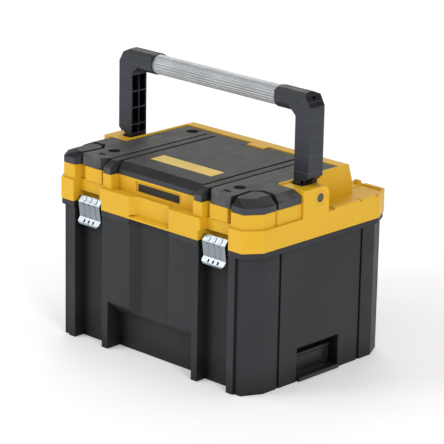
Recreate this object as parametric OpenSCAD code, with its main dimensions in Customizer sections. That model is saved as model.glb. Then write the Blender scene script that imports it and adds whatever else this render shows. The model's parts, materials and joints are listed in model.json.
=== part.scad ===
// Stackable toolbox with a lift-out tray, a folding carry handle and two metal latches.
// Millimetres. X right, front at -Y, Z up. Origin: centre of the base's footprint, on the floor.

/* [Base] */
// Height of the base up to the lid's parting line
base_h = 231; // [226:1:240]
// Half width of the base's side walls
base_hx = 214.2; // [212:0.1:215]
// Front plane of the base's pilasters, measured forward from the centre
base_front = 163.4; // [162:0.1:165]
// General wall thickness of the mouldings
wall = 4; // [3:0.5:5]

/* [Lid] */
// Height of the lid's lower band
band_h = 36; // [34:1:38]
// Height of the flat black top plane
top_z = 311; // [308:1:314]
// Half width of the lid's lower band
lid_hx = 220; // [219:0.5:221]
// Front plane of the lid's lower band, measured forward from the centre
lid_front = 166; // [165.5:0.5:167]
// Depth of the grooves moulded in the top cover
groove_d = 4; // [2:0.5:6]

/* [Handle] */
// Height of the grip tube's axis when the handle stands up
grip_z = 438.6; // [430:0.1:445]
// Outer radius of the grip tube
grip_r = 16; // [15:0.5:17]
// Radius of the handle's pivot pins
pivot_r = 4.25; // [3.5:0.25:5]

/* [Latches] */
// Width of a latch plate
latch_w = 48; // [44:1:52]
// Thickness of the latch sheet
latch_t = 1.6; // [1.2:0.1:2]

/* [Tray] */
// Underside of the tray above the floor
tray_z = 150; // [145:1:155]
// Depth of the tray
tray_h = 55; // [50:1:58]
// Thickness of the tray's walls
tray_t = 2.6; // [2:0.2:3]

/* [Hidden] */
$fn = 64;

yellow = [0.91, 0.70, 0.20];
black = [0.25, 0.25, 0.27];
cover_grey = [0.33, 0.33, 0.33];
metal = [0.78, 0.79, 0.80];
fit = 0.05;                       // radial clearance of every pin in its bore
eps = 0.5;                        // overshoot of a cut past a face

// Base
flange_z = base_h - 9;            // underside of the flange below the lid
base_rear = 158;
corner_y = 159.5;                 // front plane of the corner columns
corner_x = 197;
pocket_in = 106.9;                // latch pocket, inner and outer side, and its floor
pocket_out = 170;
pocket_y = 144;
lid_pocket_out = 171.1;           // outer side of the latch pocket in the lid, and its ceiling
lid_pocket_top = 247.2;
leg_in = 93.9;
recess_y = 152.5;                 // floor of the shallow recess in the front panel
leg_top = 81;                     // front top edge of the recess between the legs
leg_back = 135;
leg_low = 56;
clip_y0 = -51;                    // side recess that holds the stacking clip
clip_y1 = 45.4;
clip_x = 190;
clip_pivot = [196.2, 36];
clip_barrel_r = 3.5;
clip_pin_r = 2;
ledge_z = tray_z + tray_h - 4;    // top of the brackets that carry the tray's rim

// Lid
band_z = base_h + band_h;
skirt_z = 291;                    // lower edge of the black covers
lid_rear = 159.5;
upper_hx = 216;
rim_z = top_z + 2;
cover_hx = 166.5;                 // black cover inside the yellow rim
cover_rear = 88;
tab_hx = 19;
tab_y = 74.5;
slot_y = -33.5;                   // front wall of the handle arms' slots
slot_x0 = 177.2;
slot_x1 = 198.6;
channel_z = 268;
boss_front = -52;

// Handle
pivot = [-13.6, 293.4];           // y and z of the handle's pivot
pivot_head_r = 7.2;
arm_x0 = 178.7;
arm_x1 = 208.3;
arm_neck = 197;
arm_r = 17;
rib_z = [316, 331, 359, 386.5, 414];
sleeve_in = 134;
sleeve_r = 17.5;
grip_hx = 152;
grip_screw_x = 143;

// Latches
latch_x = 138;                    // centre of a latch from the middle
latch_pin = [-150.5, 236.5];
latch_pin_r = 2;
ear_t = 2;
bead_x = [-12.5, 0, 12.5];

// Rear hinge
hinge_y = 161.5;
hinge_z = 229.5;
hinge_r = 4.5;
hinge_pin_r = 2;
hinge_x = [100, 118, 152, 170];   // ends of the two base knuckles and the lid's between them

// ---- helpers ----
module both() {
  children();
  mirror([1, 0, 0]) children();
}
module side(s) {
  mirror([s < 0 ? 1 : 0, 0, 0]) children();
}
module block(x0, x1, y0, y1, z0, z1) {
  translate([x0, y0, z0]) cube([x1 - x0, y1 - y0, z1 - z0]);
}
module along_x(x0, x1, pts) {
  translate([x0, 0, 0]) rotate([90, 0, 90]) linear_extrude(x1 - x0) polygon(pts);
}
module along_y(y0, y1, pts) {
  translate([0, y1, 0]) rotate([90, 0, 0]) linear_extrude(y1 - y0) polygon(pts);
}
module along_z(z0, z1, pts) {
  translate([0, 0, z0]) linear_extrude(z1 - z0) polygon(pts);
}
module rod_x(x0, x1, y, z, r) {
  translate([x0, y, z]) rotate([0, 90, 0]) cylinder(r = r, h = x1 - x0);
}
module rod_y(y0, y1, x, z, r) {
  translate([x, y1, z]) rotate([90, 0, 0]) cylinder(r = r, h = y1 - y0);
}
// A right-hand outline closed by its own mirror image
function mirrored(p) = concat(p, [for (i = [len(p) - 1:-1:0]) [-p[i][0], p[i][1]]]);

// ---- base ----
base_outline = mirrored([[184, -base_front], [184, -corner_y], [corner_x, -corner_y],
  [base_hx, -126.5], [base_hx, 125], [corner_x, base_rear]]);
flange_outline = mirrored([[198.5, 1 - lid_front], [lid_hx - 1, -137.5], [lid_hx - 1, 126.5],
  [202.5, base_rear]]);
base_cavity = mirrored([[36, wall - recess_y], [47, wall - base_front], [90, wall - base_front],
  [90, wall - pocket_y], [174, wall - pocket_y], [174, wall - corner_y],
  [corner_x - 2.4, wall - corner_y], [base_hx - wall, -125.5], [base_hx - wall, 124],
  [corner_x - 2.4, base_rear - wall]]);
front_recess = [[-44, -200], [-44, -base_front], [-33, -recess_y], [33, -recess_y],
  [44, -base_front], [44, -200]];

module base_walls() {
  along_z(0, flange_z + eps, base_outline);
  along_z(flange_z, base_h, flange_outline);
}
module base_hollow() {
  difference() {
    along_z(wall, base_h + eps, base_cavity);
    block(-leg_in - wall, leg_in + wall, -200, -leg_back + wall, 0, leg_top + wall);
    both() block(clip_x - wall, 230, clip_y0 - wall, clip_y1 + wall, 0, 62);
  }
}
module base_cuts() {
  both() block(pocket_in, pocket_out, -200, -pocket_y, -eps, base_h + eps);
  along_z(leg_low, base_h + eps, front_recess);
  along_x(-leg_in, leg_in, [[-200, -eps], [-leg_back, -eps], [-leg_back, leg_low],
    [-base_front, leg_top], [-200, leg_top + 30]]);
  // Vertical grooves in the side walls
  both() for (y = [-94, 94]) block(base_hx - 3, 230, y - 2.5, y + 2.5, -eps, flange_z - 1);
  // Recess for the stacking clip
  both() along_y(clip_y0, clip_y1, [[clip_x, -eps], [clip_x, 40], [base_hx, leg_low],
    [230, 66], [230, -eps]]);
  // Shallow panels in the rear wall
  for (x = [-120, 0, 120]) block(x - 48, x + 48, base_rear - 2, 200, 24, 196);
}
module tray_ledges() {
  both() for (y = [-100, 55]) along_y(y, y + 45, [[base_hx - wall + eps, ledge_z],
    [198, ledge_z], [198, ledge_z - 4], [base_hx - wall + eps, ledge_z - 20]]);
}
module latch_keepers() {
  both() block(latch_x - 21, latch_x + 21, -pocket_y - 6.5, eps - pocket_y, 212, 219);
}
module base_knuckles() {
  both() for (i = [0, 2]) {
    rod_x(hinge_x[i], hinge_x[i + 1], hinge_y, hinge_z, hinge_r);
    along_x(hinge_x[i], hinge_x[i + 1], [[base_rear - 3, 214], [base_rear, 214],
      [hinge_y + 3.2, hinge_z - 3], [hinge_y, hinge_z], [base_rear - 3, hinge_z]]);
  }
}
module base_shell() {
  color(black) difference() {
    union() {
      difference() {
        base_walls();
        base_hollow();
        base_cuts();
        both() rod_x(hinge_x[1] - 0.4, hinge_x[2] + 0.4, hinge_y, hinge_z, hinge_r + 0.6);
      }
      tray_ledges();
      latch_keepers();
      base_knuckles();
    }
    both() rod_x(hinge_x[0] - eps, hinge_x[3] + eps, hinge_y, hinge_z, hinge_pin_r + fit);
    both() rod_y(clip_y0 - 3, clip_y1 + 3, clip_pivot[0], clip_pivot[1], clip_pin_r + fit);
  }
}
module hinge_pins() {
  color(metal) both() rod_x(hinge_x[0] - 1, hinge_x[3] + 1, hinge_y, hinge_z, hinge_pin_r);
}

// ---- stacking clips ----
// Upright plate at the back of the recess, and a shelf that ends in a raised lip
clip_profile = [[192, 36], [196.2, 38], [197, 30], [197, 7], [213, 5.3], [217, 7.8],
  [219.7, 7.3], [219.7, 1.5], [218, 0.3], [192, 0.3]];
module side_clip(s) {
  color(black) side(s) difference() {
    union() {
      along_y(clip_y0 + 2, clip_y1 - 2, clip_profile);
      rod_y(clip_y0 + 2, clip_y1 - 2, clip_pivot[0], clip_pivot[1], clip_barrel_r);
    }
    rod_y(clip_y0, clip_y1, clip_pivot[0], clip_pivot[1], clip_pin_r + fit);
    // Sunk panel in the plate and thumb flutes in the shelf
    block(195.8, 198, clip_y0 + 12, clip_y1 - 12, 12, 29);
    for (x = [201:4:213]) rod_y(clip_y0 + 14, clip_y1 - 14, x, 7, 1.4);
  }
}
module side_clip_pins() {
  color(metal) both() rod_y(clip_y0 - 2.5, clip_y1 + 2.5, clip_pivot[0], clip_pivot[1], clip_pin_r);
}

// ---- lid ----
band_outline = mirrored([[199.5, -lid_front], [lid_hx, -138], [lid_hx, 127], [203, lid_rear]]);
band_cavity = mirrored([[31, -151.5], [42, wall - lid_front], [103, wall - lid_front], [103, -138],
  [175, -138], [175, wall - lid_front], [197.5, wall - lid_front], [lid_hx - wall, -136.5],
  [lid_hx - wall, 125.5], [200.5, lid_rear - wall]]);
front_outline = mirrored([[88.6, -145], [90, -160], [109, -160], [111, -147], [118, -147],
  [119, -153], [157, -153], [158, -147], [170, -147], [172, -162], [197.5, -162],
  [upper_hx, -136], [upper_hx, -111], [212.5, -109.5], [212.5, -106.5], [upper_hx, -105],
  [upper_hx, boss_front], [upper_hx, slot_y], [slot_x0, slot_y], [slot_x0, 7]]);
rear_profile = [[boss_front, band_z - eps], [boss_front, rim_z], [107, rim_z], [111.5, 290.8],
  [115.5, 276.7], [118, band_z - eps]];
rear_sides = [[-176, band_z - eps], [-172, rim_z], [172, rim_z], [176, band_z - eps]];
rear_plan = mirrored([[176.2, boss_front], [176.2, 110], [169, 119]]);

module rear_block() {
  intersection() {
    along_x(-180, 180, rear_profile);
    along_y(boss_front, 120, rear_sides);
    along_z(band_z - eps, rim_z, rear_plan);
  }
}
// Bearing for one pivot pin, outside the arm
module pivot_boss() {
  intersection() {
    union() {
      block(slot_x1, lid_hx, boss_front, pivot[0], band_z - eps, top_z);
      block(slot_x1, lid_hx, pivot[0] - eps, pivot[0] + 20.5, band_z - eps, pivot[1]);
      rod_x(slot_x1, lid_hx, pivot[0], pivot[1], 20.5);
    }
    block(0, 230, -60, 60, band_z - eps, top_z);
  }
  block(cover_hx, lid_hx, boss_front, slot_y, band_z - eps, top_z);
}
// Ledge behind the handle's channel, its raised rim, the lip strips and two rest bumps
module rear_ledge() {
  block(-163, 163, 117, lid_rear, band_z - eps, band_z + 1);
  both() {
    block(slot_x1 + 11, lid_hx, 22, 81, band_z - eps, band_z + 3);
    block(slot_x1 + 11, lid_hx, 85, 119, band_z - eps, band_z + 3);
    along_z(band_z - eps, band_z + 3, [[163, 152], [203, 152], [lid_hx - 5, 124], [lid_hx, 127],
      [203, lid_rear], [163, lid_rear]]);
    along_x(147, 158, [[147, band_z], [149.5, 274.5], [154, 274.5], [157, band_z]]);
  }
}
module lid_hollow() {
  along_z(base_h - eps, band_z - 5, band_cavity);
  block(-160, 160, -136, 104, base_h, skirt_z - wall);
}
module lid_pockets() {
  both() {
    block(pocket_in, lid_pocket_out, -200, -142, base_h - eps, lid_pocket_top);
    block(pocket_in + 4, lid_pocket_out, -200, -150, lid_pocket_top - eps, band_z + eps);
    // Clearance around the base's hinge knuckles
    rod_x(hinge_x[0] - eps, hinge_x[3] + eps, hinge_y, hinge_z, hinge_r + 0.6);
    // Channel that takes the folded arm
    block(slot_x0, slot_x1 + 11, 7, 118, channel_z, rim_z + eps);
    block(slot_x0, slot_x1, slot_y, 8, channel_z, rim_z + eps);
  }
  // Recess in the front band, with a sill below it
  along_z(237, band_z + eps, [[-44, -lid_front - eps], [-44, -lid_front], [-33.5, -155.5],
    [33.5, -155.5], [44, -lid_front], [44, -lid_front - eps]]);
  along_x(-44, 44, [[-lid_front - eps, 234], [-155.5, 237.2], [-lid_front - eps, 237.2]]);
  // Frame of the front label
  block(-50, 50, -200, -143, 270.5, 287);
  // Seat of the black top cover
  block(-cover_hx - 0.3, cover_hx + 0.3, -170, tab_y + 0.3, skirt_z, rim_z + eps);
  both() block(tab_hx - 0.3, cover_hx + 0.3, 60, cover_rear + 0.3, skirt_z, rim_z + eps);
}
module lid_bores() {
  both() {
    rod_x(170, lid_hx + eps, pivot[0], pivot[1], pivot_r + fit);
    rod_x(lid_hx - 3, lid_hx + eps, pivot[0], pivot[1], pivot_head_r + 0.2);
    // Ring moulded around the pivot
    difference() {
      rod_x(lid_hx - 0.5, lid_hx + eps, pivot[0], pivot[1], 12);
      rod_x(lid_hx - 1, lid_hx + 1, pivot[0], pivot[1], 11.2);
    }
    rod_x(pocket_in - 2.5, lid_pocket_out + 2.5, latch_pin[0], latch_pin[1], latch_pin_r + fit);
    rod_x(hinge_x[1], hinge_x[2], hinge_y, hinge_z, hinge_pin_r + fit);
    for (p = screw_at) translate([p[0], p[1], skirt_z - 12]) cylinder(r = 1.8, h = 13);
  }
}
module lid_knuckles() {
  both() {
    rod_x(hinge_x[1] + 0.3, hinge_x[2] - 0.3, hinge_y, hinge_z, hinge_r);
    along_x(hinge_x[1] + 0.3, hinge_x[2] - 0.3, [[lid_rear - 3, base_h],
      [base_rear + 0.8, base_h], [hinge_y, hinge_z], [hinge_y + 4, hinge_z + 2], [lid_rear, 246],
      [lid_rear - 3, 246]]);
  }
}
module screw_posts() {
  both() for (p = screw_at) translate([p[0], p[1], skirt_z - 14]) cylinder(r = 5, h = 14);
}
module lid_shell() {
  color(yellow) difference() {
    union() {
      difference() {
        union() {
          along_z(base_h, band_z, band_outline);
          along_z(band_z - eps, skirt_z, front_outline);
          rear_block();
          both() pivot_boss();
          rear_ledge();
        }
        lid_hollow();
        lid_pockets();
      }
      lid_knuckles();
      screw_posts();
    }
    lid_bores();
  }
}

// ---- black top cover ----
screw_at = [[138, -107], [136, 68.3]];
well_d = 11;
cover_outline = mirrored([[88.6, -145], [88.6, -138], [92.4, -138], [92.4, -160], [107.7, -160],
  [107.7, -140], [113, -140], [115, -146], [122, -153], [162.5, -153], [162.5, -146], [160.5, -109],
  [174, -92.5], [198, -94.5], [upper_hx, -104.5], [upper_hx, boss_front - 0.5],
  [cover_hx, boss_front - 0.5], [cover_hx, cover_rear], [tab_hx, cover_rear], [tab_hx, tab_y]]);
module cover_bevels() {
  both() along_y(-110, -50, [[230, 303.5 - 8], [upper_hx, 303.5], [199.5, top_z],
    [199.5, top_z + eps], [230, top_z + eps]]);
  along_x(-90.5, 90.5, [[-170, 300 - 25], [-145, 300], [-135.2, top_z], [-135.2, top_z + eps],
    [-170, top_z + eps]]);
  both() along_x(92, 108, [[-170, 302 - 5.3], [-160, 302], [-143, top_z], [-143, top_z + eps],
    [-170, top_z + eps]]);
}
module cover_grooves() {
  both() for (x = [88.6, 107.7]) {
    block(x, x + 3.8, -150, 75, top_z - groove_d, top_z + eps);
  }
  both() {
    // Recessed screw wells and the drain slots in front of them
    for (p = screw_at) {
      translate([p[0], p[1], top_z - well_d]) cylinder(r = 10, h = well_d + eps);
      translate([p[0], p[1], skirt_z - eps]) cylinder(r = 2.5, h = 20);
    }
    block(130.5, 144.5, -137, -131, top_z - 6, top_z + eps);
  }
  // Seat of the top label
  block(-67.5, 67.5, -97.5, -65.5, top_z - 0.8, top_z + eps);
}
module cover_underside() {
  block(-85, 85, -134, 70, skirt_z - eps, top_z - 7);
  both() {
    difference() {
      block(96, 158, -90, 84, skirt_z - eps, top_z - 7);
      translate([screw_at[1][0], screw_at[1][1], 0]) cylinder(r = 13, h = 400);
    }
    block(116, 158, -148, -121, skirt_z - eps, top_z - 9);
    block(178, 196, -88, -58, skirt_z - eps, top_z - 7);
  }
}
module top_cover() {
  color(cover_grey) difference() {
    along_z(skirt_z, top_z, cover_outline);
    cover_bevels();
    cover_grooves();
    cover_underside();
  }
}
module cover_screws() {
  color(metal) both() for (p = screw_at) translate([p[0], p[1], 0]) {
    translate([0, 0, skirt_z - 11]) cylinder(r = 1.75, h = top_z - well_d + 0.2 - skirt_z + 11);
    difference() {
      translate([0, 0, top_z - well_d + 0.1]) cylinder(r = 5, h = 3);
      translate([0, 0, top_z - well_d + 1.4]) cylinder(r = 1.9, h = 3, $fn = 6);
    }
  }
}
module corner_bumper(s) {
  foot = [[164.8, -108], [166, -146], [173, -162], [197.5, -162], [upper_hx, -136],
    [upper_hx, -108.5], [197, -98.5], [176, -96.5]];
  crown = [[165.5, -108.5], [168, -144], [175.7, -150.4], [190, -140], [194, -131], [194, -101.5],
    [177, -99.5]];
  color(black) side(s) hull() {
    along_z(skirt_z, 302, foot);
    along_z(top_z - 0.1, top_z, crown);
  }
}
module front_label_plate() {
  color(black) block(-44.5, 44.5, -145, -143, 272, 283.8);
}
module top_label_plate() {
  color(yellow) block(-67, 67, -97, -66, top_z - 0.8, top_z - 0.1);
}
module handle_pivot_pins() {
  color(metal) both() {
    rod_x(170.5, lid_hx - 1.6, pivot[0], pivot[1], pivot_r);
    rod_x(lid_hx - 3, lid_hx - 1.2, pivot[0], pivot[1], pivot_head_r);
  }
}
module latch_pins() {
  color(metal) both() rod_x(pocket_in - 2, lid_pocket_out + 2, latch_pin[0], latch_pin[1], latch_pin_r);
}

// ---- latches ----
latch_outer = [[-155.9, 242.8], [-163.4, 233.2], [-159.8, 208.2], [-165.6, 200.4],
  [-165.4, 197.4]];
latch_lift = [-0.9, -0.4, 0.4, 0.4, 0]; // inner corners above the outer ones
latch_profile = concat(latch_outer,
  [for (i = [4:-1:0]) latch_outer[i] + [latch_t, latch_lift[i]]]);
module latch(s) {
  x0 = latch_x - latch_w / 2;
  x1 = latch_x + latch_w / 2;
  color(metal) side(s) difference() {
    union() {
      along_x(x0, x1, latch_profile);
      // Ears that turn on the pin, and the hook tongue under the keeper
      for (x = [x0 + 1, x1 - 1 - ear_t]) {
        along_x(x, x + ear_t, [[-162.3, 232.6], [-155, 241.9], latch_pin + [0.5, 3.4],
          latch_pin + [2, -2.8], [-161, 222]]);
        rod_x(x, x + ear_t, latch_pin[0], latch_pin[1], 3.5);
      }
      along_x(latch_x - 18, latch_x + 18, [[-158.9, 207.6], [-150.8, 207.6], [-150.8, 209.2],
        [-158.9, 210.2]]);
      // Pressed beads: short ones across the upper band, long ones down the plate
      for (x = bead_x) {
        translate([latch_x + x, -159.6, 238.1]) rotate([-38, 0, 0])
          translate([-2.4, -0.9, -4]) cube([4.8, 1.6, 8]);
        translate([latch_x + x, -160.7, 220.7]) rotate([8.2, 0, 0])
          translate([0, 0, -10.5]) cylinder(r = 2.3, h = 21);
      }
    }
    for (x = [x0, x1]) rod_x(x - 4, x + 4, latch_pin[0], latch_pin[1], latch_pin_r + fit);
    // Three slots and the clipped corners of the pull lip
    for (x = [-10, 0, 10]) block(latch_x + x - 1.6, latch_x + x + 1.6, -180, -155, 201.6, 205.6);
    for (m = [-1, 1]) translate([latch_x + m * latch_w / 2, 0, 197.4]) rotate([0, 45, 0])
      cube([7, 400, 7], center = true);
  }
}

// ---- handle ----
arm_front = [[arm_x0, pivot[1] - arm_r], [arm_neck, pivot[1] - arm_r], [arm_neck, 314],
  [arm_x1, 324], [arm_x1, grip_z - 4], [199, grip_z + 11.5], [191, grip_z + 17.4],
  [sleeve_in, grip_z + 17.4], [sleeve_in, grip_z], [163, grip_z], [163, grip_z - 6],
  [arm_x0, 418]];
arm_side = [[-30.4, pivot[1]], [-30.4, grip_z + 12.4], [-22, grip_z + 16.4],
  [pivot[0], grip_z + 17.4], [-5, grip_z + 16.4], [3.4, grip_z + 12.4], [3.4, pivot[1]]];
module arm_blank() {
  intersection() {
    along_y(-40, 20, arm_front);
    union() {
      along_x(100, 230, arm_side);
      rod_x(100, 230, pivot[0], pivot[1], arm_r);
    }
  }
  rod_x(sleeve_in, arm_x0 + 5, pivot[0], grip_z, sleeve_r);
}
module arm_cells() {
  for (i = [0:3]) {
    deep = i == 0 ? arm_neck - 2.2 : arm_x1 - 2.2;
    for (y = [-28.2, pivot[0] + 1]) {
      block(arm_x0 - eps, deep, y, y + 13.6, rib_z[i] + 1, rib_z[i + 1] - 1);
    }
  }
}
module handle_arm(s) {
  color(black) side(s) difference() {
    arm_blank();
    arm_cells();
    rod_x(arm_x0 - 1, arm_neck + 1, pivot[0], pivot[1], pivot_r + fit);
    rod_x(sleeve_in - eps, grip_hx + 0.3, pivot[0], grip_z, grip_r + fit);
    rod_y(pivot[0], 10, grip_screw_x, grip_z, 2.05);
    rod_y(2.45, 10, grip_screw_x, grip_z, 4.2);
    // Small window near the top of the outer bevel and a notch at the foot
    block(196, 212, -17, -10.2, 445.6, 449.2);
    block(arm_neck - 4, arm_neck + 4, -31, -27, 313, 319);
  }
}
module grip_tube() {
  color(metal) difference() {
    rod_x(-grip_hx, grip_hx, pivot[0], grip_z, grip_r);
    rod_x(-grip_hx - 1, grip_hx + 1, pivot[0], grip_z, grip_r - 2);
    both() rod_y(pivot[0], 10, grip_screw_x, grip_z, 1.95);
    // Fine flutes around the front, underside and back, between the sleeves
    for (a = [144:14:396]) rod_x(1 - sleeve_in, sleeve_in - 1,
      pivot[0] + (grip_r + 0.9) * cos(a), grip_z + (grip_r + 0.9) * sin(a), 2);
  }
}
module grip_screws() {
  color(metal) both() {
    rod_y(pivot[0] + 8, 2.6, grip_screw_x, grip_z, 1.9);
    difference() {
      rod_y(2.5, 3.7, grip_screw_x, grip_z, 3.9);
      translate([grip_screw_x, 5, grip_z]) rotate([90, 0, 0]) cylinder(r = 1.5, h = 1.9, $fn = 6);
    }
  }
}

// ---- tray ----
tray_outline = mirrored([[186, -132], [194, -124], [194, 118], [180, 146]]);
tray_rim = mirrored([[190, -136], [205, -122], [205, 120], [188, 150]]);
tray_top = tray_z + tray_h;
bar_z = tray_top + 18;
bar_y = 8;
post_x = 60;
function inset(p, t) = [for (q = p) [q[0] - sign(q[0]) * t, q[1] - sign(q[1]) * t]];
module tray_body() {
  color(black) difference() {
    union() {
      difference() {
        union() {
          along_z(tray_z, tray_top, tray_outline);
          along_z(tray_top - 4, tray_top, tray_rim);
        }
        along_z(tray_z + tray_t, tray_top + eps, inset(tray_outline, tray_t));
      }
      block(-192, 192, bar_y - 1.5, bar_y + 1.5, tray_z + 1, tray_top - 3);
      both() {
        block(post_x, post_x + 12, bar_y - 11, bar_y + 11, tray_z + 1, bar_z + 7);
        // Guide ribs for the loose dividers
        for (x = [76, 84, 136, 144], y = [-129.6, bar_y - 5.4, bar_y + 1.4, 139.8])
          block(x - 1, x + 1, y, y + 4, tray_z + 1, tray_top - 8);
      }
    }
    both() {
      rod_x(post_x - eps, post_x + 8, bar_y, bar_z - 3, 8 + fit);
      rod_x(post_x, post_x + 13, bar_y, bar_z - 3, 2.05);
    }
  }
}
module tray_handle_bar() {
  color(yellow) difference() {
    rod_x(-post_x - 7.9, post_x + 7.9, bar_y, bar_z - 3, 8);
    for (x = [-52:8:52]) translate([x - 1, bar_y, bar_z - 3]) rotate([0, 90, 0]) difference() {
      cylinder(r = 9, h = 2);
      translate([0, 0, -1]) cylinder(r = 7.3, h = 4);
    }
    both() rod_x(post_x - 6, post_x + 9, bar_y, bar_z - 3, 1.95);
  }
}
module tray_handle_screws() {
  color(metal) both() {
    rod_x(post_x - 4, post_x + 12.5, bar_y, bar_z - 3, 1.9);
    rod_x(post_x + 12, post_x + 14, bar_y, bar_z - 3, 3.8);
  }
}
module tray_dividers() {
  color(black) both() {
    for (x = [80, 140]) {
      block(x - 1.2, x + 1.2, -129, bar_y - 2, tray_z + tray_t, tray_top - 6);
      block(x - 1.2, x + 1.2, bar_y + 2, 143, tray_z + tray_t, tray_top - 6);
    }
  }
}

base_shell();
hinge_pins();
side_clip_pins();
side_clip(-1);  // side_clip_left
side_clip(1);  // side_clip_right
lid_shell();
top_cover();
corner_bumper(-1);  // corner_bumper_left
corner_bumper(1);  // corner_bumper_right
front_label_plate();
top_label_plate();
cover_screws();
handle_pivot_pins();
latch_pins();
latch(-1);  // latch_left
latch(1);  // latch_right
handle_arm(-1);  // handle_arm_left
handle_arm(1);  // handle_arm_right
grip_tube();
grip_screws();
tray_body();
tray_handle_bar();
tray_handle_screws();
tray_dividers();
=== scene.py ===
"""Stackable toolbox with a lift-out tray: materials, rounded mouldings, floor, lights and camera."""
import json
import math

import bmesh
import bpy
from mathutils import Matrix, Vector


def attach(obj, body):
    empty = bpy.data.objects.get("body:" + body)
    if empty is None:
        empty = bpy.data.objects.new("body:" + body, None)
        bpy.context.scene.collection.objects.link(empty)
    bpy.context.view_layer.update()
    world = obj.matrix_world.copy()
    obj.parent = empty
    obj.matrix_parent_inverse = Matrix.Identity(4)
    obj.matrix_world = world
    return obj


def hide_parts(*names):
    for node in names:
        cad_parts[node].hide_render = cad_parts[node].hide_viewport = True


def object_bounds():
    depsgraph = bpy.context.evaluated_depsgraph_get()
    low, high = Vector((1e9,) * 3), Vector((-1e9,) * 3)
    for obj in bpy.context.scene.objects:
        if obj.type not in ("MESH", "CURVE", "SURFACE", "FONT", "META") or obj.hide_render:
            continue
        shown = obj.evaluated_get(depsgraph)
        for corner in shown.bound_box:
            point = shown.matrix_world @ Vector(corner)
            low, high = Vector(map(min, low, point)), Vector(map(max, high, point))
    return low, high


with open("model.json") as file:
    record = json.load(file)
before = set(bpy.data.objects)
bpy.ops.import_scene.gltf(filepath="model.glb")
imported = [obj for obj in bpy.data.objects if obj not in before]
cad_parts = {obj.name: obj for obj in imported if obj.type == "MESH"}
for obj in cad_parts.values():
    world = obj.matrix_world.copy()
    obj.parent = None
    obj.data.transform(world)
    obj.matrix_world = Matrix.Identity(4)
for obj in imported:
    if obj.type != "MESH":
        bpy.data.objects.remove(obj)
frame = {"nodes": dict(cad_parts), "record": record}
cad_box = [list(corner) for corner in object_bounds()]

MM = 0.001
RECESS_SHADE_REACH = 60 * MM
SEAM_SHADE_REACH = 4 * MM
EDGE_WEAR_HIGHLIGHT_FROM, EDGE_WEAR_HIGHLIGHT_TO = 0.54, 0.62
BODY_OF = {n: b for b, ns in frame["record"]["behaviour"]["bodies"].items() for n in ns}
SLOT_OF = {s["node"]: s["material_slot"] for s in frame["record"]["subparts"]}


# ---------------------------------------------------------------- materials
class Graph:
    """A material's node tree, with short calls for its nodes and links."""

    def __init__(self, name):
        self.mat = bpy.data.materials.new(name)
        self.mat.use_nodes = True
        self.tree = self.mat.node_tree
        self.shader = self.tree.nodes["Principled BSDF"]
        self.place = self.add("ShaderNodeTexCoord").outputs["Object"]

    def add(self, kind, **values):
        node = self.tree.nodes.new(kind)
        for key, value in values.items():
            if key in node.inputs:
                node.inputs[key].default_value = value
            else:
                setattr(node, key, value)
        return node

    def link(self, a, b):
        self.tree.links.new(a, b)

    def stretched(self, scale):
        mapping = self.add("ShaderNodeMapping")
        mapping.inputs["Scale"].default_value = scale
        self.link(self.place, mapping.inputs["Vector"])
        return mapping.outputs["Vector"]

    def noise(self, scale, detail=2.0, rough=0.5, vector=None):
        node = self.add("ShaderNodeTexNoise", Scale=scale, Detail=detail, Roughness=rough)
        self.link(vector or self.place, node.inputs["Vector"])
        return node.outputs["Fac"]

    def ramp(self, fac, low, high, from_low=0.0, from_high=1.0):
        node = self.add("ShaderNodeMapRange")
        node.inputs["From Min"].default_value = from_low
        node.inputs["From Max"].default_value = from_high
        node.inputs["To Min"].default_value = low
        node.inputs["To Max"].default_value = high
        self.link(fac, node.inputs["Value"])
        return node.outputs["Result"]

    def mix_colour(self, fac, a, b):
        node = self.add("ShaderNodeMix", data_type="RGBA")
        self.link(fac, node.inputs[0])
        for socket, value in ((node.inputs[6], a), (node.inputs[7], b)):
            if isinstance(value, bpy.types.NodeSocket):
                self.link(value, socket)
            else:
                socket.default_value = (*value, 1.0)
        return node.outputs[2]

    def bump(self, height, strength, distance, normal=None):
        node = self.add("ShaderNodeBump", Strength=strength, Distance=distance)
        self.link(height, node.inputs["Height"])
        if normal is not None:
            self.link(normal, node.inputs["Normal"])
        return node.outputs["Normal"]

    def worn_and_highlit_edges(self):
        """0 on flat ground and 1 on outer edges, broken up by noise: the mask for edge wear and a
        painted highlight.
        """
        pointy = self.add("ShaderNodeNewGeometry").outputs["Pointiness"]
        edge = self.ramp(pointy, 0.0, 1.0, EDGE_WEAR_HIGHLIGHT_FROM, EDGE_WEAR_HIGHLIGHT_TO)
        breakup = self.ramp(self.noise(60.0, 4.0), 0.2, 1.0, 0.35, 0.65)
        both = self.add("ShaderNodeMath", operation="MULTIPLY")
        self.link(edge, both.inputs[0])
        self.link(breakup, both.inputs[1])
        return both.outputs[0]

    def facing_up(self):
        """1 on faces that look straight up with the piece at rest, 0 on vertical faces and -1 below:
        the mask for painted shade and reflection by facing.
        """
        split = self.add("ShaderNodeSeparateXYZ")
        self.link(self.add("ShaderNodeTexCoord").outputs["Normal"], split.inputs[0])
        return split.outputs["Z"]

    def openness(self, reach):
        """0 deep in a recess and 1 on open ground, from ambient occlusion: the mask for painted shade.
        """
        node = self.add("ShaderNodeAmbientOcclusion", samples=8, Distance=reach)
        return self.ramp(node.outputs["AO"], 0.0, 1.0, 0.3, 0.95)

    def sink_marks(self, first, pitch):
        """1 on thin level lines every pitch above the first height, fading to 0 beside them."""
        split = self.add("ShaderNodeSeparateXYZ")
        self.link(self.place, split.inputs[0])
        level = self.add("ShaderNodeMath", operation="SUBTRACT")
        level.inputs[1].default_value = first * MM
        self.link(split.outputs["Z"], level.inputs[0])
        away = self.add("ShaderNodeMath", operation="PINGPONG")
        away.inputs[1].default_value = pitch / 2 * MM
        self.link(level.outputs[0], away.inputs[0])
        return self.ramp(away.outputs[0], 1.0, 0.0, 0.0, 1.6 * MM)


def shade(colour, factor):
    return tuple(min(1.0, c * factor) for c in colour)


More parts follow.
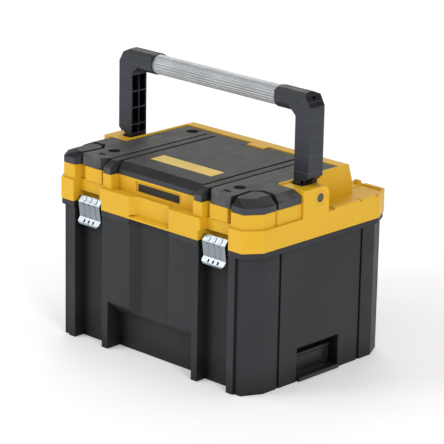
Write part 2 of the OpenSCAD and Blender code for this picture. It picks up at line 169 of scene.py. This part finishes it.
def moulded(name, colour, roughness, grain=0.35, specular=0.5, mottling=0.12, gloss=None,
            sinks=None, recess_shade=0.35, bevel_shade=None, side_reflection=None, edge_wear_and_highlight=2.2):
    """Injection-moulded plastic: spark-eroded grain, faint flow mottling, edges lighter from wear and
    a painted highlight, and painted shade in recesses.

    sinks is the first height and the pitch in mm of the ribs whose sink marks show through the
    skin, as dents with a painted highlight along them. recess_shade is how much of the colour is
    left in the depth of recesses as painted shade, and edge_wear_and_highlight is how much lighter
    edges are, from wear and a painted highlight. bevel_shade and side_reflection are the colours
    of bevels and sides, given together: painted shade on the bevels and a painted reflection on
    the sides, while tops keep the colour."""
    g = Graph(name)
    cloud = g.ramp(g.noise(9.0, 4.0), 0.0, 1.0, 0.3, 0.7)
    base = g.mix_colour(cloud, shade(colour, 1 - mottling), shade(colour, 1 + mottling))
    specks = g.ramp(g.noise(900.0, 1.0), 0.0, 0.25, 0.55, 0.75)
    base = g.mix_colour(specks, base, shade(colour, 1.35))
    # Painted light by facing: bevels painted dark as painted shade, sides painted lighter and bluish
    # as a painted reflection, tops keep the colour.
    if bevel_shade is not None:
        up = g.facing_up()
        base = g.mix_colour(g.ramp(up, 0.0, 1.0, 0.88, 0.97), bevel_shade, base)
        base = g.mix_colour(g.ramp(up, 0.0, 1.0, 0.12, 0.35), side_reflection, base)
    # Outer edges painted lighter: partly wear, and on the dark parts a painted highlight.
    base = g.mix_colour(g.ramp(g.worn_and_highlit_edges(), 0.0, 0.6), base, shade(colour, edge_wear_and_highlight))
    # Painted shade: the colour is darkened deep in recesses, where shade falls.
    base = g.mix_colour(g.openness(RECESS_SHADE_REACH), shade(colour, recess_shade), base)
    rough = g.ramp(g.noise(35.0, 3.0), roughness - 0.06, roughness + 0.06, 0.3, 0.7)
    g.link(rough, g.shader.inputs["Roughness"])
    g.shader.inputs["Specular IOR Level"].default_value = specular
    fine = g.bump(g.noise(1500.0, 2.0), grain, 0.12 * MM)
    wavy = g.bump(g.noise(14.0, 2.0), 0.12, 0.5 * MM, fine)
    if sinks is not None:
        mark = g.sink_marks(*sinks)
        wavy = g.bump(mark, 0.5, 0.4 * MM, wavy)
        # Sink marks are bumped in and painted lighter along them: a painted highlight.
        base = g.mix_colour(g.ramp(mark, 0.0, 0.5), base, shade(side_reflection, 1.9))
    g.link(base, g.shader.inputs["Base Color"])
    g.link(wavy, g.shader.inputs["Normal"])
    if gloss is not None:
        g.shader.inputs["Coat Weight"].default_value = gloss
        g.shader.inputs["Coat Roughness"].default_value = 0.35
    return g.mat


def brushed(name, colour, roughness, along):
    """Drawn or rolled metal: fine lines along one axis, a cloudy sheen and painted shade in narrow
    seams.
    """
    g = Graph(name)
    scale = [900.0, 900.0, 900.0]
    scale["XYZ".index(along)] = 12.0
    streaks = g.noise(1.0, 3.0, 0.6, g.stretched(scale))
    cloud = g.ramp(g.noise(28.0, 3.0), 0.0, 1.0, 0.3, 0.7)
    base = g.mix_colour(cloud, shade(colour, 0.88), shade(colour, 1.06))
    # Painted shade: the colour is darkened in narrow seams and flutes, where shade falls.
    base = g.mix_colour(g.openness(SEAM_SHADE_REACH), shade(colour, 0.3), base)
    g.link(base, g.shader.inputs["Base Color"])
    g.link(g.ramp(streaks, roughness - 0.08, roughness + 0.12, 0.3, 0.7),
           g.shader.inputs["Roughness"])
    g.shader.inputs["Metallic"].default_value = 1.0
    g.link(g.bump(streaks, 0.5, 0.05 * MM), g.shader.inputs["Normal"])
    return g.mat


YELLOW = (0.76, 0.435, 0.018)
# Dark bevel colour: painted shade.
SHADED_BEVEL = (0.010, 0.010, 0.011)
FIRST_RIB, RIB_PITCH = 331.0, 27.7
MOULDED = {
    "base_black": dict(colour=(0.028, 0.029, 0.033), roughness=0.52, specular=0.24, recess_shade=0.1),
    "lid_yellow": dict(colour=YELLOW, roughness=0.42, grain=0.22, specular=0.3, mottling=0.03,
                       recess_shade=0.88, edge_wear_and_highlight=1.15),
    "cover_black": dict(colour=(0.060, 0.059, 0.056), roughness=0.56, grain=0.5, specular=0.22,
                        mottling=0.06, edge_wear_and_highlight=3.5, bevel_shade=SHADED_BEVEL, side_reflection=(0.046, 0.050, 0.062)),
    "bumper_black": dict(colour=(0.030, 0.031, 0.032), roughness=0.42, grain=0.25, specular=0.22,
                         edge_wear_and_highlight=8.0, bevel_shade=SHADED_BEVEL, side_reflection=(0.042, 0.047, 0.060)),
    "clip_black": dict(colour=(0.022, 0.022, 0.024), roughness=0.42),
    "handle_black": dict(colour=(0.007, 0.007, 0.008), roughness=0.34, grain=0.25, specular=0.25,
                         edge_wear_and_highlight=5.0, bevel_shade=(0.009, 0.009, 0.011), side_reflection=(0.036, 0.040, 0.052),
                         sinks=(FIRST_RIB, RIB_PITCH)),
    "tray_black": dict(colour=(0.040, 0.040, 0.043), roughness=0.48),
    "tray_grip": dict(colour=YELLOW, roughness=0.42, grain=0.3, specular=0.4, mottling=0.03,
                      recess_shade=0.88, edge_wear_and_highlight=1.15),
    "divider_black": dict(colour=(0.055, 0.055, 0.059), roughness=0.5),
    "label_black": dict(colour=(0.020, 0.017, 0.015), roughness=0.42, grain=0.08, specular=0.2,
                        gloss=0.08),
    "label_yellow": dict(colour=(0.74, 0.47, 0.025), roughness=0.38, grain=0.1, gloss=0.2),
    "pivot_black": dict(colour=(0.040, 0.042, 0.048), roughness=0.35, grain=0.1, gloss=0.2),
}
BRUSHED = {
    "latch_metal": dict(colour=(0.285, 0.32, 0.345), roughness=0.30, along="X"),
    "grip_aluminium": dict(colour=(0.515, 0.53, 0.54), roughness=0.52, along="X"),
    "pin_steel": dict(colour=(0.42, 0.42, 0.43), roughness=0.40, along="Y"),
    "screw_dark": dict(colour=(0.16, 0.16, 0.16), roughness=0.42, along="Z"),
}
MADE = {slot: moulded(slot, **look) for slot, look in MOULDED.items()}
MADE.update({slot: brushed(slot, **look) for slot, look in BRUSHED.items()})


# ---------------------------------------------------------------- rounded mouldings
FLAT = math.radians(1.0)
CREASE = math.radians(18.0)
ROLL_ROOM = 2.3
ROLL_SEGMENTS = 2


def bake_modifiers(obj):
    """Applies the object's modifiers to its mesh."""
    depsgraph = bpy.context.evaluated_depsgraph_get()
    mesh = bpy.data.meshes.new_from_object(obj.evaluated_get(depsgraph))
    obj.modifiers.clear()
    obj.data = mesh


def flat_regions(bm):
    """Groups of faces that lie in one plane and touch each other."""
    seen = set()
    for start in list(bm.faces):
        if start in seen:
            continue
        seen.add(start)
        region, front = [start], [start]
        while front:
            for edge in front.pop().edges:
                if len(edge.link_faces) == 2 and edge.calc_face_angle() < FLAT:
                    for face in edge.link_faces:
                        if face not in seen:
                            seen.add(face)
                            region.append(face)
                            front.append(face)
        yield region


def hole_centres(region):
    """The middles of the boxes around a flat region's inner outlines, one for each hole."""
    inside = set(region)
    rim = {e for f in region for e in f.edges if sum(g in inside for g in e.link_faces) == 1}
    loops = []
    while rim:
        front, verts = [rim.pop()], set()
        while front:
            edge = front.pop()
            for vert in edge.verts:
                verts.add(vert)
                more = [e for e in vert.link_edges if e in rim]
                rim.difference_update(more)
                front.extend(more)
        low = Vector(min(v.co[i] for v in verts) for i in range(3))
        high = Vector(max(v.co[i] for v in verts) for i in range(3))
        loops.append(((high - low).length, (low + high) / 2))
    return [middle for size, middle in sorted(loops, key=lambda item: item[0])[:-1]]


def open_holes(bm):
    """Cuts every flat region with holes in two through each hole, along lines marked as seams."""
    for region in list(flat_regions(bm)):
        if len(region) < 3 or not region[0].is_valid:
            continue
        normal = region[0].normal.copy()
        across = normal.cross(Vector((0.0, 0.0, 1.0)))
        if across.length < 0.1:
            across = Vector((1.0, 0.0, 0.0))
        faces = region
        for middle in hole_centres(region):
            geometry = list({g for f in faces for g in (f, *f.edges, *f.verts)})
            cut = bmesh.ops.bisect_plane(bm, geom=geometry, dist=0.001 * MM, plane_co=middle,
                                         plane_no=across.normalized())
            for item in cut["geom_cut"]:
                if isinstance(item, bmesh.types.BMEdge):
                    item.seam = True
            faces = [g for g in cut["geom"] if isinstance(g, bmesh.types.BMFace)]


def edges_to_round(bm, width):
    """Sharp edges with room beside them for a roll of this width."""
    room = ROLL_ROOM * width
    picked = []
    for edge in bm.edges:
        if not edge.is_convex or edge.calc_face_angle() < CREASE:
            continue
        if edge.calc_length() < 2 * room:
            continue
        narrow = any(f.calc_area() / max(e.calc_length() for e in f.edges) < room
                     for f in edge.link_faces)
        beside = (e for f in edge.link_faces for e in f.edges if e is not edge)
        short = any(e.calc_length() < room for e in beside
                    if set(e.verts) & set(edge.verts))
        if not narrow and not short:
            picked.append(edge)
    return picked


def rounded(node, width):
    """Replaces a CAD node by a copy whose sharp edges are rolled over by a width in mm."""
    source = frame["nodes"][node]
    bm = bmesh.new()
    bm.from_mesh(source.data)
    bmesh.ops.remove_doubles(bm, verts=bm.verts, dist=0.002 * MM)
    open_holes(bm)
    bmesh.ops.dissolve_limit(bm, angle_limit=FLAT, verts=bm.verts, edges=bm.edges,
                             delimit={"SEAM"})
    for edge in bm.edges:
        edge.smooth = len(edge.link_faces) == 2 and edge.calc_face_angle() < CREASE
    bmesh.ops.bevel(bm, geom=edges_to_round(bm, width * MM), offset=width * MM,
                    offset_type="OFFSET", segments=ROLL_SEGMENTS, profile=0.5, affect="EDGES",
                    clamp_overlap=False, harden_normals=False, miter_outer="ARC")
    bmesh.ops.triangulate(bm, faces=[f for f in bm.faces if len(f.verts) > 4])
    mesh = bpy.data.meshes.new(node + "_moulding")
    bm.to_mesh(mesh)
    bm.free()
    piece = bpy.data.objects.new(node + "_moulding", mesh)
    bpy.context.scene.collection.objects.link(piece)
    for polygon in mesh.polygons:
        polygon.use_smooth = True
    mesh.materials.append(MADE[SLOT_OF[node]])
    weighted = piece.modifiers.new("shading", "WEIGHTED_NORMAL")
    weighted.keep_sharp = True
    bake_modifiers(piece)
    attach(piece, BODY_OF[node])
    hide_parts(node)


ROLL_WIDTH = {
    "base_shell": 0.8, "lid_shell": 0.8, "top_cover": 0.8,
    "corner_bumper_left": 0.9, "corner_bumper_right": 0.9,
    "handle_arm_left": 1.0, "handle_arm_right": 1.0,
    "latch_left": 0.3, "latch_right": 0.3,
    "side_clip_left": 0.6, "side_clip_right": 0.6,
    "tray_body": 0.5, "tray_dividers": 0.4,
    "front_label_plate": 0.5, "top_label_plate": 0.2,
}
for cad_node, node_object in frame["nodes"].items():
    if cad_node in ROLL_WIDTH:
        rounded(cad_node, ROLL_WIDTH[cad_node])
    else:
        node_object.data.materials.clear()
        node_object.data.materials.append(MADE[SLOT_OF[cad_node]])


# ---------------------------------------------------------------- stage, lights and camera
def studio_floor():
    """A plain pale sheet under the object, with a faint glow that keeps it near white."""
    mesh = bpy.data.meshes.new("floor")
    half = 6.0
    mesh.from_pydata([(-half, -half, 0), (half, -half, 0), (half, half, 0), (-half, half, 0)],
                     [], [(0, 1, 2, 3)])
    floor = bpy.data.objects.new("floor", mesh)
    bpy.context.scene.collection.objects.link(floor)
    g = Graph("floor_paper")
    tint = g.ramp(g.noise(2.0, 2.0), 0.0, 1.0, 0.3, 0.7)
    g.link(g.mix_colour(tint, (0.90, 0.90, 0.90), (0.93, 0.93, 0.93)),
           g.shader.inputs["Base Color"])
    g.shader.inputs["Roughness"].default_value = 0.9
    g.shader.inputs["Specular IOR Level"].default_value = 0.1
    g.shader.inputs["Emission Color"].default_value = (1.0, 1.0, 1.0, 1.0)
    g.shader.inputs["Emission Strength"].default_value = 0.22
    mesh.materials.append(g.mat)
    floor.location.z = cad_box[0][2]


def soft_light(name, place, target, size, power):
    """A round lamp of a size in metres and a power in watts, turned towards the target."""
    data = bpy.data.lights.new(name, "AREA")
    data.shape = "DISK"
    data.size = size
    data.energy = power
    light = bpy.data.objects.new(name, data)
    light.location = place
    aim = Vector(target) - Vector(place)
    light.rotation_euler = aim.to_track_quat("-Z", "Y").to_euler()
    bpy.context.scene.collection.objects.link(light)


def studio_lights():
    world = bpy.data.worlds.new("studio")
    world.use_nodes = True
    background = world.node_tree.nodes["Background"]
    background.inputs["Color"].default_value = (1.0, 1.0, 1.0, 1.0)
    background.inputs["Strength"].default_value = 0.42
    bpy.context.scene.world = world
    middle = (0, 0, 0.2)
    soft_light("key", (-1.4, -2.3, 1.9), middle, 1.2, 27)
    soft_light("side", (2.7, -1.3, 1.3), middle, 1.0, 32)
    soft_light("left", (-2.1, -1.4, 1.9), middle, 0.9, 9)
    soft_light("top", (0.4, 0.5, 2.8), middle, 1.4, 8)
    soft_light("back_floor", (-2.2, 2.4, 2.6), (-1.8, 2.2, 0.0), 2.6, 40)


def studio_camera():
    """The camera fitted to the object's edges: its bearing, height angle, roll and distance."""
    azimuth, elevation, roll = (math.radians(a) for a in (43.58, 17.478, 1.093))
    distance, lens_share = 3.957247, 5.53669
    aim_height, aim_rise = 0.150, 0.048306
    back = Vector((math.sin(azimuth) * math.cos(elevation),
                   -math.cos(azimuth) * math.cos(elevation), math.sin(elevation)))
    right = Vector((math.cos(azimuth), math.sin(azimuth), 0.0))
    up = back.cross(right)
    target = Vector((0, 0, aim_height)) + aim_rise * up
    turned_right = math.cos(roll) * right + math.sin(roll) * up
    turned_up = math.cos(roll) * up - math.sin(roll) * right
    data = bpy.data.cameras.new("camera")
    data.sensor_width = 36.0
    data.lens = lens_share * data.sensor_width
    data.clip_end = 50.0
    camera = bpy.data.objects.new("camera", data)
    turn = Matrix((turned_right, turned_up, back)).transposed().to_4x4()
    camera.matrix_world = Matrix.Translation(target + distance * back) @ turn
    bpy.context.scene.collection.objects.link(camera)
    bpy.context.scene.camera = camera


studio_floor()
studio_lights()
studio_camera()
bpy.context.scene.view_settings.view_transform = "Standard"
